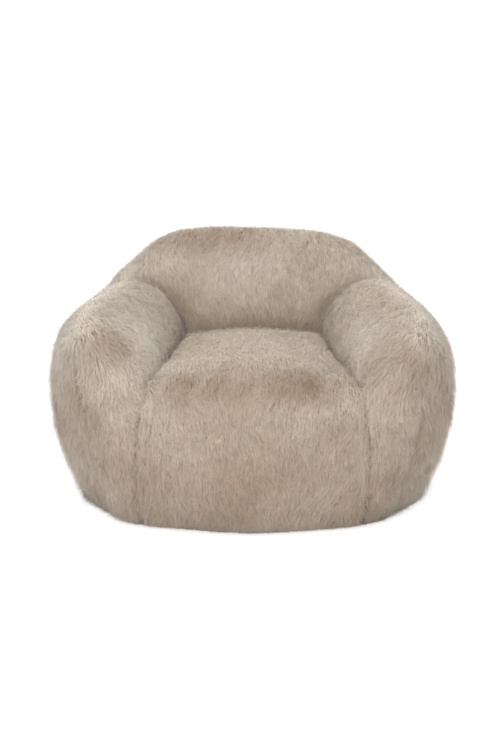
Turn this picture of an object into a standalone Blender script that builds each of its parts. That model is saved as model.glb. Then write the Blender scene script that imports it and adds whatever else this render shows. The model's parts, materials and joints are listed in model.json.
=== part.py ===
"""A fur-covered bean bag armchair: a sewn cover of shaped panels, an inner liner bag,
baffles, bead filling and two zips. Metres, +Z up, front towards -Y.
Left and right are as seen by someone who faces the chair, so left is -X."""

import math

import bmesh
import bpy
import numpy as np
from mathutils import Matrix, Vector

# ---- driving dimensions -------------------------------------------------------------------
SEAT_HEIGHT = 0.392  # the seat's front seam above the floor
SEAT_FRONT_WIDTH = 0.530  # between the arm creases, at the front
SEAT_BACK_WIDTH = 0.375
SEAT_DEPTH = 0.565  # front seam to back crease
SEAT_FRONT_Y = -0.425
ARM_SEAM_HEIGHT = 0.470  # the arm's outer seam, at its front corner
ARM_SEAM_WIDTH = 0.860
SHOULDER_HEIGHT = 0.530
BACK_HEIGHT = 0.680  # the back's top seam
FOOTPRINT_DEPTH = 0.840

COVER_THICKNESS = 0.010  # backing with its pile pressed down
BASE_THICKNESS = 0.004
LINER_DEPTH = 0.0115  # the liner's outer face below the cover's outer face
LINER_THICKNESS = 0.001
LINER_FLOOR = 0.026  # the liner's underside above the floor
FILL_DEPTH = 0.0180
FILL_FLOOR = 0.031
SEAM_GAP = 0.0003  # each panel stops this far short of its seam
BAFFLE_THICKNESS = 0.001
BAFFLE_GAP = 0.0005

ZIP_Y = 0.060  # the zips run along X under the seat
ZIP_SLOT = 0.026
ZIP_HALF_LENGTH = 0.270
ZIP_LIFT = 0.008  # the base rises to the zip, so that nothing on it meets the floor
TAPE_WIDTH, TAPE_THICKNESS = 0.018, 0.0008
COIL_RADIUS, COIL_GAP = 0.0010, 0.0012
SLIDER_START = -0.252  # closed: the slider is beside its top stop
STOP_INSET, COIL_INSET = 0.0065, 0.0088
SLOT_PAST_ZIP = 0.012
COVER_TAPE_Z, LINER_TAPE_Z = 0.0124, 0.0249  # undersides

# ---- how many faces each seam is cut into ---------------------------------------------------
ACROSS_SEAT, ALONG_ARM, ACROSS_ARM, UP_BACK, UP_SIDE = 8, 8, 4, 5, 7
ALONG_SIDE = ALONG_ARM + UP_BACK
ACROSS_ALL = ACROSS_SEAT + 2 * ACROSS_ARM

PANELS = (
    "seat_panel",
    "front_panel",
    "back_front_panel",
    "back_rear_panel",
    "arm_inner_panel_left",
    "arm_inner_panel_right",
    "arm_front_panel_left",
    "arm_front_panel_right",
    "side_panel_left",
    "side_panel_right",
    "base_panel_front",
    "base_panel_rear",
    "zip_slot",
)

FUR = (0.48, 0.39, 0.31)
CANVAS = (0.30, 0.26, 0.22)
LINING = (0.78, 0.77, 0.74)
BEADS = (0.92, 0.92, 0.90)
ZIP_NYLON = (0.36, 0.30, 0.25)
ZIP_METAL = (0.55, 0.52, 0.48)


def material(name, colour, roughness, metallic=0.0):
    made = bpy.data.materials.new(name)
    made.use_nodes = True
    shader = made.node_tree.nodes["Principled BSDF"]
    shader.inputs["Base Color"].default_value = (*colour, 1.0)
    shader.inputs["Roughness"].default_value = roughness
    shader.inputs["Metallic"].default_value = metallic
    return made


# ---- seams and the panels between them --------------------------------------------------------
def seam(points, count):
    """Evenly spaced points on a smooth curve through the given ones."""
    knots = np.array(points, float)
    at = np.concatenate([[0], np.cumsum(np.linalg.norm(np.diff(knots, axis=0), axis=1))])
    slopes = np.gradient(knots, at, axis=0) if len(knots) > 2 else None
    fine = []
    for i in range(len(knots) - 1):
        span = at[i + 1] - at[i]
        t = np.linspace(0, 1, 40)[:, None]
        if slopes is None:
            fine.append(knots[i] + t * (knots[i + 1] - knots[i]))
            continue
        fine.append(
            (2 * t**3 - 3 * t**2 + 1) * knots[i]
            + (t**3 - 2 * t**2 + t) * span * slopes[i]
            + (3 * t**2 - 2 * t**3) * knots[i + 1]
            + (t**3 - t**2) * span * slopes[i + 1]
        )
    line = np.concatenate(fine)
    length = np.concatenate([[0], np.cumsum(np.linalg.norm(np.diff(line, axis=0), axis=1))])
    even = np.linspace(0, length[-1], count + 1)
    return np.stack([np.interp(even, length, line[:, k]) for k in range(3)], axis=1)


def flipped(curve):
    """The same seam on the other side of the chair."""
    return curve * (-1, 1, 1)


def joined(*curves):
    """Seams end to end, each joint's point once."""
    return np.concatenate([curves[0]] + [c[1:] for c in curves[1:]])


def pillow(bottom, top, left, right, bulge, lift=1.0, fullness=0.6):
    """A grid of points between four seams, swelling by bulge in its middle, or nearer its
    top where lift is over 1. Left to right crossed with bottom to top points outwards."""
    u = np.linspace(0, 1, len(bottom))[:, None, None]
    v = np.linspace(0, 1, len(left))[None, :, None]
    flat = (
        (1 - v) * bottom[:, None]
        + v * top[:, None]
        + (1 - u) * left[None]
        + u * right[None]
        - (1 - u) * (1 - v) * bottom[0]
        - u * (1 - v) * bottom[-1]
        - (1 - u) * v * top[0]
        - u * v * top[-1]
    )
    out = np.cross(np.gradient(flat, axis=0), np.gradient(flat, axis=1))
    out /= np.maximum(np.linalg.norm(out, axis=2, keepdims=True), 1e-9)
    up = v**lift
    return flat + out * bulge * (16 * u * (1 - u) * up * (1 - up)) ** fullness


def seams():
    """The seams of the right half and the middle, each an array of points."""
    half_front, half_back = SEAT_FRONT_WIDTH / 2, SEAT_BACK_WIDTH / 2
    half_arm = ARM_SEAM_WIDTH / 2
    back_y = SEAT_FRONT_Y + SEAT_DEPTH
    ring_front, ring_rear = -FOOTPRINT_DEPTH / 2, FOOTPRINT_DEPTH / 2
    seat_corner = (half_front, SEAT_FRONT_Y + 0.012, SEAT_HEIGHT - 0.037)
    back_corner = (half_back, back_y - 0.010, SEAT_HEIGHT - 0.004)
    arm_corner = (half_arm, SEAT_FRONT_Y + 0.120, ARM_SEAM_HEIGHT)
    shoulder = (0.357, back_y + 0.060, SHOULDER_HEIGHT)
    top_corner = (0.282, back_y + 0.205, BACK_HEIGHT - 0.054)
    shoulder_slope = (shoulder[1] - back_corner[1]) / (shoulder[0] - half_back)

    def on_shoulder_line(x, z):
        return (x, back_corner[1] + (x - half_back) * shoulder_slope, z)

    ring_crease = (half_front + 0.002, ring_front + 0.060, 0)
    ring_arm = (0.352, ring_front + 0.150, 0)
    ring_back = (0.340, ring_rear - 0.100, 0)
    return {
        "seat_front": seam(
            [flipped(np.array(seat_corner)), (0, SEAT_FRONT_Y - 0.012, SEAT_HEIGHT), seat_corner],
            ACROSS_SEAT,
        ),
        "seat_back": seam(
            [flipped(np.array(back_corner)), (0, back_y, SEAT_HEIGHT - 0.006), back_corner],
            ACROSS_SEAT,
        ),
        "crease": seam(
            [
                seat_corner,
                ((half_front + half_back) / 2, back_y - SEAT_DEPTH / 2, SEAT_HEIGHT - 0.030),
                back_corner,
            ],
            ALONG_ARM,
        ),
        "shoulder": seam(
            [
                back_corner,
                on_shoulder_line(0.218, SHOULDER_HEIGHT - 0.072),
                on_shoulder_line(0.275, SHOULDER_HEIGHT - 0.018),
                shoulder,
            ],
            ACROSS_ARM,
        ),
        "arm_rim": seam([seat_corner, (0.350, -0.385, 0.416), arm_corner], ACROSS_ARM),
        "arm_outer": seam(
            [arm_corner, (half_arm + 0.008, -0.120, 0.490), (0.398, 0.070, 0.508), shoulder],
            ALONG_ARM,
        ),
        "back_side": seam([shoulder, (0.326, back_y + 0.125, 0.584), top_corner], UP_BACK),
        "top": seam(
            [
                flipped(np.array(top_corner)),
                (-0.150, back_y + 0.215, BACK_HEIGHT - 0.019),
                (0, back_y + 0.218, BACK_HEIGHT - 0.014),
                (0.150, back_y + 0.215, BACK_HEIGHT - 0.019),
                top_corner,
            ],
            ACROSS_ALL,
        ),
        "front_side": seam(
            [
                ring_crease,
                (half_front + 0.016, -0.418, 0.100),
                (half_front + 0.014, -0.436, 0.240),
                seat_corner,
            ],
            UP_SIDE,
        ),
        "arm_side": seam(
            [
                ring_arm,
                (half_arm - 0.070, -0.305, 0.080),
                (half_arm - 0.040, -0.340, 0.230),
                (half_arm - 0.008, -0.336, 0.375),
                arm_corner,
            ],
            UP_SIDE,
        ),
        "rear_side": seam(
            [
                ring_back,
                (0.385, 0.370, 0.130),
                (0.400, 0.374, 0.280),
                (0.368, 0.376, 0.420),
                (0.322, 0.360, 0.530),
                top_corner,
            ],
            UP_SIDE,
        ),
        "ring_front": seam(
            [flipped(np.array(ring_crease)), (0, ring_front, 0), ring_crease], ACROSS_SEAT
        ),
        "ring_arm": seam([ring_crease, (0.315, -0.320, 0), ring_arm], ACROSS_ARM),
        "ring_side": seam(
            [ring_arm, (0.424, -0.140, 0), (0.448, 0.030, 0), (0.424, 0.200, 0), ring_back],
            ALONG_SIDE,
        ),
        "ring_rear": seam(
            [
                flipped(np.array(ring_back)),
                (-0.170, ring_rear - 0.018, 0),
                (0, ring_rear, 0),
                (0.170, ring_rear - 0.018, 0),
                ring_back,
            ],
            ACROSS_ALL,
        ),
    }


def base_grid(s):
    """The flat underside, with two of its rows drawn to the zip's slot."""
    front = joined(flipped(s["ring_arm"])[::-1], s["ring_front"], s["ring_arm"])
    points = pillow(
        s["ring_rear"], front, flipped(s["ring_side"])[::-1], s["ring_side"][::-1], 0.0
    )
    columns, row = slot_place(points)
    for offset, side in ((0, 1), (1, -1)):
        for i in range(columns[0], columns[1] + 1):
            points[i, row + offset, 1] = ZIP_Y + side * ZIP_SLOT / 2
    points[columns[0], row : row + 2, 0] = -ZIP_HALF_LENGTH - SLOT_PAST_ZIP
    points[columns[1], row : row + 2, 0] = ZIP_HALF_LENGTH + SLOT_PAST_ZIP
    return points


def slot_place(points):
    """(first and last column, row) of the base grid's faces that the slot takes."""
    middle = points[ACROSS_ALL // 2, :, 1]
    row = int(np.argmax(middle < ZIP_Y)) - 1
    along = points[:, row, 0]
    first = int(np.argmin(np.abs(along + ZIP_HALF_LENGTH)))
    return (first, ACROSS_ALL - first), row


def panel_grids():
    """{panel: its grid of points}, on the cover's outer face."""
    s = seams()
    shoulder_to_shoulder = joined(flipped(s["shoulder"])[::-1], s["seat_back"], s["shoulder"])
    right = {
        "arm_inner_panel": pillow(s["arm_rim"], s["shoulder"], s["crease"], s["arm_outer"], 0.034),
        "arm_front_panel": pillow(s["ring_arm"], s["arm_rim"], s["front_side"], s["arm_side"], 0.020),
        "side_panel": pillow(
            s["ring_side"],
            joined(s["arm_outer"], s["back_side"]),
            s["arm_side"],
            s["rear_side"],
            0.064,
            lift=1.5,
        ),
    }
    grids = {
        "seat_panel": pillow(
            s["seat_front"], s["seat_back"], flipped(s["crease"]), s["crease"], 0.034
        ),
        "front_panel": pillow(
            s["ring_front"], s["seat_front"], flipped(s["front_side"]), s["front_side"], 0.022
        ),
        "back_front_panel": pillow(
            shoulder_to_shoulder, s["top"], flipped(s["back_side"]), s["back_side"], 0.056
        ),
        "back_rear_panel": pillow(
            s["ring_rear"][::-1],
            s["top"][::-1],
            s["rear_side"],
            flipped(s["rear_side"]),
            0.056,
        ),
        "base": base_grid(s),
    }
    for name, points in right.items():
        grids[name + "_right"] = points
        grids[name + "_left"] = flipped(points)[::-1]
    return grids


def add_grid(bm, points, panel_of):
    """Adds a grid of faces at these points. panel_of(i, j) is each face's place in PANELS."""
    across, up = points.shape[0] - 1, points.shape[1] - 1
    made = bmesh.ops.create_grid(bm, x_segments=across, y_segments=up, size=1)["verts"]
    place = {}
    for vert in made:
        i = round((vert.co.x + 1) / 2 * across)
        j = round((vert.co.y + 1) / 2 * up)
        place[vert] = (i, j)
    for face in {f for vert in made for f in vert.link_faces}:
        i = min(place[v][0] for v in face.verts)
        j = min(place[v][1] for v in face.verts)
        face.material_index = PANELS.index(panel_of(i, j))
        face.smooth = True
    for vert, (i, j) in place.items():
        vert.co = points[i, j]


def whole_form():
    """The closed outer form of the chair, each face marked with its panel."""
    bm = bmesh.new()
    grids = panel_grids()
    columns, row = slot_place(grids["base"])

    def base_panel(i, j):
        if j == row and columns[0] <= i < columns[1]:
            return "zip_slot"
        return "base_panel_rear" if j <= row else "base_panel_front"

    for name, points in grids.items():
        add_grid(bm, points, base_panel if name == "base" else lambda i, j, n=name: n)
    bmesh.ops.remove_doubles(bm, verts=bm.verts[:], dist=0.0004)
    bmesh.ops.recalc_face_normals(bm, faces=bm.faces[:])
    return bm


def sunk(form, depth, floor):
    """A copy of the form, its surface moved in by depth and its underside at floor."""
    bm = form.copy()
    bm.normal_update()
    moves = [v.normal * (-depth * min(v.calc_shell_factor(), 1.6)) for v in bm.verts]
    for vert, move in zip(bm.verts, moves):
        vert.co += move
        vert.co.z = max(vert.co.z, floor)
    return bm


def as_object(name, bm, collection):
    mesh = bpy.data.meshes.new(name)
    bm.to_mesh(mesh)
    bm.free()
    obj = bpy.data.objects.new(name, mesh)
    collection.objects.link(obj)
    return obj


def evaluated_mesh(obj):
    graph = bpy.context.evaluated_depsgraph_get()
    return bpy.data.meshes.new_from_object(obj.evaluated_get(graph), depsgraph=graph)


def bake_modifiers(obj):
    """Replaces an object's mesh with what its modifiers make of it."""
    mesh = evaluated_mesh(obj)
    obj.modifiers.clear()
    obj.data = mesh


def dress(obj, finish):
    obj.data.materials.clear()
    obj.data.materials.append(finish)
    if obj.type == "MESH":
        for face in obj.data.polygons:
            face.material_index = 0
        obj.data.shade_smooth()
        obj.data.set_sharp_from_angle(angle=math.radians(40))
    return obj


def shell_between(form, thickness, keep, helpers):
    """The form's faces in the keep panels as a closed shell of that thickness."""
    whole = as_object("form_for_shell", form.copy(), helpers)
    for _ in PANELS:
        whole.data.materials.append(None)
    solid = whole.modifiers.new("thickness", "SOLIDIFY")
    solid.thickness = thickness
    solid.offset = -1
    solid.use_even_offset = True
    solid.thickness_clamp = 1.0
    bm = bmesh.new()
    bm.from_mesh(evaluated_mesh(whole))
    bpy.data.objects.remove(whole)
    bm.verts.ensure_lookup_table()
    outside = set(bm.verts[: len(form.verts)])
    wanted = {PANELS.index(name) for name in keep}
    others = [f for f in bm.faces if f.material_index not in wanted]
    bmesh.ops.delete(bm, geom=others, context="FACES")
    rim = [e for e in bm.edges if e.is_boundary]
    walls = bmesh.ops.bridge_loops(bm, edges=rim)["faces"]
    for wall in walls:
        split_wall(wall, outside)
    bmesh.ops.recalc_face_normals(bm, faces=bm.faces[:])
    rims = {v for e in rim for v in e.verts}
    return bm, rims


def split_wall(wall, outside):
    """Cuts a seam wall's quad in two, along the same diagonal as its neighbour's."""
    first = min((v for v in wall.verts if v in outside), key=lambda v: tuple(v.co))
    corners = list(wall.verts)
    across = corners[(corners.index(first) + 2) % 4]
    bmesh.utils.face_split(wall, first, across)


def draw_in(bm, rims, gap):
    """Moves a panel's rim in along its surface, so that it stops short of the seam."""
    moves = {}
    for vert in rims:
        inner = [e.other_vert(vert) for e in vert.link_edges if e.other_vert(vert) not in rims]
        if not inner:  # a corner, whose one neighbour inside is across a face
            inner = [v for f in vert.link_faces for v in f.verts if v not in rims]
        if inner:
            middle = sum((v.co for v in inner), Vector()) / len(inner)
            moves[vert] = (middle - vert.co).normalized() * gap
    for vert, move in moves.items():
        vert.co += move


# ---- the sewn cover -----------------------------------------------------------------------
def cover_panel(name, form, finish, collection, helpers):
    bm, rims = shell_between(form, COVER_THICKNESS, [name], helpers)
    if name.startswith("base"):
        shape_base(bm, rims)
    draw_in(bm, rims, SEAM_GAP)
    return dress(as_object(name, bm, collection), finish)


def shape_base(bm, rims):
    """Makes an underside panel thinner than the fur, and lifts its edge to the zip."""
    for vert in bm.verts:
        along_slot = (
            abs(abs(vert.co.y - ZIP_Y) - ZIP_SLOT / 2) < 0.002
            and abs(vert.co.x) < ZIP_HALF_LENGTH + SLOT_PAST_ZIP + 0.004
        )
        if vert.co.z > BASE_THICKNESS and (vert not in rims or along_slot):
            vert.co.z = BASE_THICKNESS
        if along_slot:
            vert.co.z += ZIP_LIFT


# ---- what is inside -------------------------------------------------------------------------
def liner_bag(form, finish, collection, helpers):
    """The inner bag, open along its zip."""
    inner = sunk(form, LINER_DEPTH, LINER_FLOOR)
    keep = [name for name in PANELS if name != "zip_slot"]
    bm, _ = shell_between(inner, LINER_THICKNESS, keep, helpers)
    inner.free()
    return dress(as_object("liner_bag", bm, collection), finish)


def plan_outlines():
    """Outlines, seen from above, of the filling's four parts and the baffles between them."""
    s = seams()
    front, corner = s["crease"][0][:2], s["crease"][-1][:2]
    shoulder = s["shoulder"][-1][:2]
    along = (corner - front) / np.linalg.norm(corner - front)
    outward = np.array([-along[1], along[0]]) * -1
    wing = (shoulder - corner) / np.linalg.norm(shoulder - corner)
    rearward = np.array([-wing[1], wing[0]])
    far = 0.6
    start, end = front - along * far, corner
    tip = shoulder + wing * far
    return start, end, tip, outward, rearward, far


def prism(name, outline, helpers):
    """A tall upright solid with this outline, from below the floor to above the chair."""
    curve = bpy.data.curves.new(name, "CURVE")
    curve.dimensions = "2D"
    curve.fill_mode = "BOTH"
    curve.extrude = 0.5
    spline = curve.splines.new("POLY")
    spline.points.add(len(outline) - 1)
    for point, (x, y) in zip(spline.points, outline):
        point.co = (x, y, 0, 1)
    spline.use_cyclic_u = True
    drawn = bpy.data.objects.new(name, curve)
    helpers.objects.link(drawn)
    drawn.location.z = 0.45
    bpy.context.view_layer.update()
    bm = bmesh.new()
    bm.from_mesh(evaluated_mesh(drawn))
    bmesh.ops.transform(bm, matrix=drawn.matrix_world, verts=bm.verts[:])
    bmesh.ops.remove_doubles(bm, verts=bm.verts[:], dist=1e-5)
    bmesh.ops.recalc_face_normals(bm, faces=bm.faces[:])
    bpy.data.objects.remove(drawn)
    return as_object(name + "_cutter", bm, helpers)


def cut_from(form, depth, floor, name, outline, finish, collection, helpers):
    """What an upright outline takes out of the sunk form."""
    made = as_object(name, sunk(form, depth, floor), collection)
    cut = made.modifiers.new("outline", "BOOLEAN")
    cut.operation = "INTERSECT"
    cut.solver = "EXACT"
    cut.object = prism(name, outline, helpers)
    bake_modifiers(made)
    return dress(made, finish)


def fillings_and_baffles(form, beads, lining, collection, helpers):
    start, corner, tip, outward, rearward, far = plan_outlines()
    gap = BAFFLE_THICKNESS / 2 + BAFFLE_GAP
    mirror = np.array([-1, 1])

    def both(points):
        """An outline from its right half, front to back."""
        return points + [p * mirror for p in points[::-1]]

    def towards(point, *moves):
        return point + sum(direction * size for direction, size in moves)

    back_edge = corner + np.array([0, gap])
    seat = both([towards(start, (outward, -gap)), corner + np.array([-gap, -gap])])
    back = both([towards(back_edge, (rearward, gap / 2)), towards(tip, (rearward, gap)), tip + (0, far)])
    arm = [
        towards(start, (outward, gap)),
        start + (far, 0),
        towards(tip, (rearward, -gap)),
        towards(corner, (outward, gap), (rearward, -gap)),
    ]
    half = BAFFLE_THICKNESS / 2
    arm_baffle = [
        towards(start, (outward, half)),
        towards(corner, (outward, half), (rearward, -gap)),
        towards(corner, (outward, -half)) - (0, gap),
        towards(start, (outward, -half)),
    ]
    back_baffle = both(
        [
            corner + np.array([0, -half]),
            towards(tip, (rearward, -half)),
            towards(tip, (rearward, half)),
            corner + np.array([0, half]),
        ]
    )
    for name, outline, depth, floor, finish in (
        ("seat_bead_fill", seat, FILL_DEPTH, FILL_FLOOR, beads),
        ("back_bead_fill", back, FILL_DEPTH, FILL_FLOOR, beads),
        ("arm_bead_fill_right", arm, FILL_DEPTH, FILL_FLOOR, beads),
        ("arm_bead_fill_left", [p * mirror for p in arm[::-1]], FILL_DEPTH, FILL_FLOOR, beads),
        ("arm_baffle_right", arm_baffle, FILL_DEPTH, FILL_FLOOR, lining),
        ("arm_baffle_left", [p * mirror for p in arm_baffle[::-1]], FILL_DEPTH, FILL_FLOOR, lining),
        ("back_baffle", back_baffle, FILL_DEPTH, FILL_FLOOR, lining),
    ):
        cut_from(form, depth, floor, name, outline, finish, collection, helpers)


# ---- zips -----------------------------------------------------------------------------------
def box(name, size, centre, collection):
    bm = bmesh.new()
    bmesh.ops.create_cube(bm, size=1, matrix=Matrix.Diagonal((*size, 1)))
    made = as_object(name, bm, collection)
    made.location = centre
    return made


def wire(name, points, radius, collection, resolution=2):
    curve = bpy.data.curves.new(name, "CURVE")
    curve.dimensions = "3D"
    curve.bevel_depth = radius
    curve.bevel_resolution = resolution
    curve.use_fill_caps = True
    spline = curve.splines.new("POLY")
    spline.points.add(len(points) - 1)
    for point, place in zip(spline.points, points):
        point.co = (*place, 1)
    made = bpy.data.objects.new(name, curve)
    collection.objects.link(made)
    return made


def plate(name, outlines, thickness, collection):
    """A flat plate centred on z 0. The first outline is its edge and the others are holes."""
    curve = bpy.data.curves.new(name, "CURVE")
    curve.dimensions = "2D"
    curve.fill_mode = "BOTH"
    curve.extrude = thickness / 2
    for outline in outlines:
        spline = curve.splines.new("POLY")
        spline.points.add(len(outline) - 1)
        for point, (x, y) in zip(spline.points, outline):
            point.co = (x, y, 0, 1)
        spline.use_cyclic_u = True
    made = bpy.data.objects.new(name, curve)
    collection.objects.link(made)
    return made


def as_mesh(drawn, collection):
    """A curve object as a mesh object in the same place, its caps welded on."""
    bpy.context.view_layer.update()
    bm = bmesh.new()
    bm.from_mesh(evaluated_mesh(drawn))
    bmesh.ops.remove_doubles(bm, verts=bm.verts[:], dist=1e-6)
    name, place = drawn.name, drawn.matrix_world.copy()
    bpy.data.objects.remove(drawn)
    made = as_object(name, bm, collection)
    made.matrix_world = place
    return made


def rounded(half_length, half_width, radius, steps=4, centre=(0, 0)):
    """The points of a rectangle with round corners."""
    points = []
    for quarter in range(4):
        turn = quarter * math.pi / 2
        cx = (half_length - radius) * (1 if quarter in (0, 3) else -1)
        cy = (half_width - radius) * (1 if quarter in (0, 1) else -1)
        for k in range(steps + 1):
            angle = turn + k / steps * math.pi / 2
            points.append(
                (
                    centre[0] + cx + radius * math.cos(angle),
                    centre[1] + cy + radius * math.sin(angle),
                )
            )
    return points


def slider_outline():
    """A zip slider's plate: two shoulders at its leading end, narrow at the other."""
    half = [(0.0062, 0.0018), (0.0066, 0.0048), (0.0030, 0.0052), (-0.0030, 0.0040), (-0.0062, 0.0036)]
    return half + [(x, -y) for x, y in half[::-1]]


def slider(name, tape_z, finish, collection, helpers):
    """Two plates round the coils, a post between them, and a bridge under for the pull."""
    plate_thickness, clear = 0.0013, 0.0004
    coil_bottom = tape_z - 0.0003 - 2 * COIL_RADIUS
    lower = coil_bottom - clear - plate_thickness / 2
    upper = tape_z + TAPE_THICKNESS + clear + plate_thickness / 2
    body = plate(name, [slider_outline()], plate_thickness, collection)
    body.location.z = lower
    body = as_mesh(body, collection)
    top = plate(name + "_top", [slider_outline()], plate_thickness, helpers)
    top.location.z = upper
    top = as_mesh(top, helpers)
    post = box(name + "_post", (0.0030, 0.0008, upper - lower), (0.0035, 0, (upper + lower) / 2), helpers)
    underside = lower - plate_thickness / 2
    arch = [(0.0030 * math.cos(a), 0, -0.0029 * math.sin(a) ** 0.5) for a in np.linspace(0, math.pi, 9)]
    arch = [(arch[0][0], 0, 0.0006), *arch, (arch[-1][0], 0, 0.0006)]
    bridge = wire(name + "_bridge", arch, 0.0006, helpers)
    bridge.location.z = underside
    bridge = as_mesh(bridge, helpers)
    for other in (top, post, bridge):
        join = body.modifiers.new(other.name, "BOOLEAN")
        join.operation = "UNION"
        join.solver = "EXACT"
        join.object = other
    bpy.context.view_layer.update()
    bake_modifiers(body)
    body.location.x = SLIDER_START
    body.location.y = ZIP_Y
    return dress(body, finish), underside


def pull(name, underside, finish, collection):
    """A flat tab whose end bar lies inside the slider's bridge."""
    bar_x, thickness = 0.0011, 0.0010
    edge = rounded(0.0130, 0.0040, 0.0024, centre=(0.0130 - 0.0008, 0))
    eye = rounded(0.0031, 0.0022, 0.0005, steps=2, centre=(0.0008 + 0.0031, 0))
    finger_hole = rounded(0.0030, 0.0018, 0.0017, steps=4, centre=(0.0190, 0))
    tab = plate(name, [edge, eye, finger_hole], thickness, collection)
    tab = as_mesh(tab, collection)
    tab.location = (SLIDER_START + bar_x, ZIP_Y, underside - 0.0011)
    return dress(tab, finish)


def zip_assembly(prefix, tape_z, nylon, metal, collection, helpers):
    """Two tapes, two coils, two stops, a slider and its pull."""
    inner_edge = COIL_GAP / 2 + 0.0006
    for side, word in ((-1, "front"), (1, "rear")):
        centre_y = ZIP_Y + side * (inner_edge + TAPE_WIDTH / 2)
        tape = box(
            f"{prefix}_tape_{word}",
            (2 * ZIP_HALF_LENGTH, TAPE_WIDTH, TAPE_THICKNESS),
            (0, centre_y, tape_z + TAPE_THICKNESS / 2),
            collection,
        )
        dress(tape, nylon)
        coil_y = ZIP_Y + side * (COIL_GAP / 2 + COIL_RADIUS)
        coil_z = tape_z - 0.0003 - COIL_RADIUS
        coil_end = ZIP_HALF_LENGTH - COIL_INSET
        ends = [(x, coil_y, coil_z) for x in (-coil_end, coil_end)]
        coil = as_mesh(wire(f"{prefix}_coil_{word}", ends, COIL_RADIUS, collection), collection)
        dress(coil, nylon)
    for end, word in ((-1, "top"), (1, "bottom")):
        stop = box(
            f"{prefix}_{word}_stop",
            (0.0040, 0.0060, 0.0020),
            (end * (ZIP_HALF_LENGTH - STOP_INSET), ZIP_Y, tape_z - 0.0003 - 0.0010),
            collection,
        )
        dress(stop, metal)
    _, underside = slider(f"{prefix}_slider", tape_z, metal, collection, helpers)
    pull(f"{prefix}_pull", underside, metal, collection)


def main():
    for obj in list(bpy.data.objects):
        bpy.data.objects.remove(obj)
    chair = bpy.data.collections.new("bean_bag_chair")
    helpers = bpy.data.collections.new("cutters")
    for made in (chair, helpers):
        bpy.context.scene.collection.children.link(made)
    fur = material("fur_cover", FUR, 0.95)
    canvas = material("base_canvas", CANVAS, 0.85)
    lining = material("liner_fabric", LINING, 0.90)
    beads = material("bead_fill", BEADS, 0.80)
    nylon = material("zip_nylon", ZIP_NYLON, 0.60)
    metal = material("zip_metal", ZIP_METAL, 0.35, metallic=1.0)
    form = whole_form()
    for name in PANELS:
        if name != "zip_slot":
            cover_panel(name, form, canvas if name.startswith("base") else fur, chair, helpers)
    liner_bag(form, lining, chair, helpers)
    fillings_and_baffles(form, beads, lining, chair, helpers)
    zip_assembly("cover_zip", COVER_TAPE_Z, nylon, metal, chair, helpers)
    zip_assembly("liner_zip", LINER_TAPE_Z, nylon, metal, chair, helpers)
    for obj in helpers.objects:
        obj.hide_render = True
        obj.display_type = "WIRE"
    form.free()


main()
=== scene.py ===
"""The looks of the fur-covered bean bag armchair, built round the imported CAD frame."""

import json
import math

import bmesh
import bpy
import numpy as np
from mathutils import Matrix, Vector
from mathutils.kdtree import KDTree


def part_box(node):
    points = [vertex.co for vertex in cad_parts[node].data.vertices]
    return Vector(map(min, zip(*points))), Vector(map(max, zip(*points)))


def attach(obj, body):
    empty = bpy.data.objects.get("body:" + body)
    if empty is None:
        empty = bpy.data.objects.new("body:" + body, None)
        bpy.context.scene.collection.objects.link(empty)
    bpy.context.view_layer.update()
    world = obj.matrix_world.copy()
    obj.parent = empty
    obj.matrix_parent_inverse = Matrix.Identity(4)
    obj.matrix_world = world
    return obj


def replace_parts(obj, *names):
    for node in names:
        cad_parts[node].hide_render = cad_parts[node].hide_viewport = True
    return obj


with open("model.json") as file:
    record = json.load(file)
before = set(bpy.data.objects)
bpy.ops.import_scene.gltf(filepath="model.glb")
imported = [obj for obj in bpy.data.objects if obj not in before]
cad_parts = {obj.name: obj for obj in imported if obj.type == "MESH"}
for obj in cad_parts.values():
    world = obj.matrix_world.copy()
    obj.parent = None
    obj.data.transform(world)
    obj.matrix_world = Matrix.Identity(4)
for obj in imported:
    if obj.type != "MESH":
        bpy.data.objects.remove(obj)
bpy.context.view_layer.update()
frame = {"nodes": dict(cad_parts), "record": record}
rng = np.random.default_rng(7)

# ---- the cover's seams, as in the CAD model ------------------------------------------------
SEAT_HEIGHT, SEAT_FRONT_WIDTH, SEAT_BACK_WIDTH = 0.392, 0.530, 0.375
SEAT_DEPTH, SEAT_FRONT_Y = 0.565, -0.425
ARM_SEAM_HEIGHT, ARM_SEAM_WIDTH = 0.470, 0.860
SHOULDER_HEIGHT, BACK_HEIGHT, FOOTPRINT_DEPTH = 0.530, 0.680, 0.840

# how many faces each seam is cut into, 13 to 20 mm each
ACROSS_SEAT, ALONG_ARM, ACROSS_ARM, UP_BACK, UP_SIDE = 36, 40, 22, 16, 32
ALONG_SIDE, ACROSS_ALL = ALONG_ARM + UP_BACK, ACROSS_SEAT + 2 * ACROSS_ARM

# how far each panel swells between its seams
SEAT_BULGE, FRONT_BULGE, BACK_BULGE = 0.034, 0.022, 0.056
ARM_BULGE, ARM_END_BULGE, SIDE_BULGE = 0.034, 0.020, 0.064
SIDE_LIFT, FULLNESS = 1.5, 0.6

# ---- the skin under the pile -----------------------------------------------------------------
HOLLOW_SEAMS = ("crease", "seat_back", "shoulder")
EDGE_SEAMS = ("arm_outer", "back_side", "top")  # painted rim highlight: the pile along these is painted paler
SEAMS_THAT_SHOW = (*HOLLOW_SEAMS, "front_side", "arm_side", "rear_side")
ROLLED_SEAMS = ("seat_front", "arm_rim", "arm_outer", "back_side")

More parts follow.
